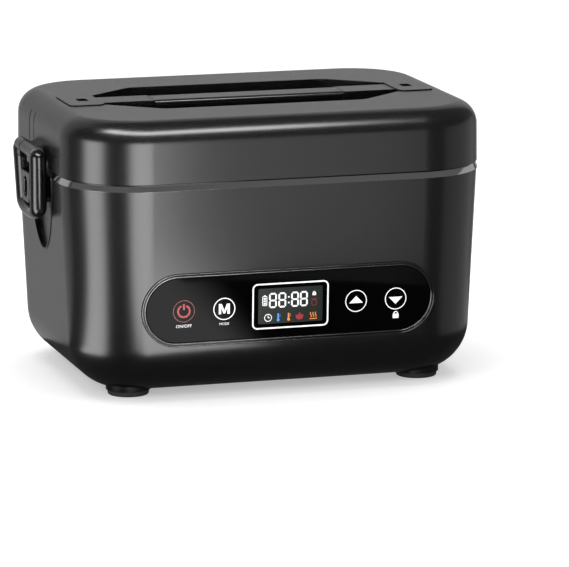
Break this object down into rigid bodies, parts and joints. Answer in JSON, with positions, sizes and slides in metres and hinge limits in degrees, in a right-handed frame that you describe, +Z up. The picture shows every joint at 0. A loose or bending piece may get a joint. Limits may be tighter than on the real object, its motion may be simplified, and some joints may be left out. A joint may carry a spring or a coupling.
{
  "type": "electric lunch box",
  "caption": "Electric lunch box: rounded charcoal tub with a heated well and steel tray, lift-off lid with loop latches, flush carrying handle and a touch panel.",
  "frame": {"origin": "centre of the box at the height of the surface that its feet stand on", "axes": "+Z up, -Y out of the front with the control panel, +X to the right as seen from the front"},
  "size_m": [0.2632, 0.178, 0.1566],
  "materials": {
    "tub_plastic": "satin charcoal",
    "lid_plastic": "satin charcoal",
    "under_plastic": "fine texture",
    "latch_plastic": "semi-gloss",
    "handle_plastic": "satin",
    "grip_plastic": "satin",
    "chrome": "polished",
    "panel_glass": "polished black",
    "foot_rubber": "matte",
    "seal_rubber": "matte",
    "tray_steel": "brushed",
    "well_aluminium": "satin",
    "screw_steel": "plain",
    "heater_ceramic": "ceramic look",
    "insulation": "felt",
    "cell_wrap": "heat-shrink wrap",
    "circuit_board": "solder mask",
    "contact_brass": "bright",
    "dark_part": "plain",
    "inner_cover_plastic": "satin"
  },
  "bodies": {
    "tub": {"base_shell": "tub_plastic", "bottom_cover": "under_plastic", "base_screws": "screw_steel", "foot_front_left": "foot_rubber", "foot_front_right": "foot_rubber", "foot_rear_left": "foot_rubber", "foot_rear_right": "foot_rubber", "chrome_band": "chrome", "well_liner": "well_aluminium", "liner_screws": "screw_steel", "heating_plate": "well_aluminium", "ptc_heater": "heater_ceramic", "heater_clamp": "screw_steel", "thermostat": "dark_part", "thermal_fuse": "heater_ceramic", "temperature_sensor": "screw_steel", "insulation_pad": "insulation", "battery_holder": "dark_part", "battery_cells": "cell_wrap", "power_board": "circuit_board", "display_board": "circuit_board", "board_screws": "screw_steel", "display_module": "dark_part", "touch_springs": "contact_brass", "panel_rim": "chrome", "panel_glass": "panel_glass", "power_inlet": "dark_part", "inlet_pins": "contact_brass", "latch_catch_left": "latch_plastic", "latch_catch_right": "latch_plastic"},
    "tray": {"food_tray": "tray_steel"},
    "lid": {"lid_shell": "lid_plastic", "lid_inner_cover": "inner_cover_plastic", "lid_gasket": "seal_rubber", "lid_screws": "screw_steel", "latch_pin_left": "screw_steel", "latch_pin_right": "screw_steel"},
    "handle": {"handle_bar": "handle_plastic", "handle_grip": "grip_plastic", "handle_guide_pins": "screw_steel"},
    "latch_left": {"latch_left": "latch_plastic"},
    "latch_right": {"latch_right": "latch_plastic"}
  },
  "joints": [
    {"name": "lid_lift", "type": "slide", "parent": "tub", "child": "lid", "axis": [0, 0, 1], "range_m": [0, 0.12]},
    {"name": "tray_lift", "type": "slide", "parent": "tub", "child": "tray", "axis": [0, 0, 1], "range_m": [0, 0.06]},
    {"name": "handle_pull", "type": "slide", "parent": "lid", "child": "handle", "axis": [0, 0, 1], "range_m": [0, 0.0125]},
    {"name": "latch_left_swing", "type": "hinge", "parent": "lid", "child": "latch_left", "pos_m": [-0.1257, 0, 0.132], "axis": [0, 1, 0], "range_deg": [0, 100]},
    {"name": "latch_right_swing", "type": "hinge", "parent": "lid", "child": "latch_right", "pos_m": [0.1257, 0, 0.132], "axis": [0, -1, 0], "range_deg": [0, 100]}
  ],
  "couplings": [
    {"joint": "tray_lift", "follows": "lid_lift", "ratio": 0.5}
  ]
}
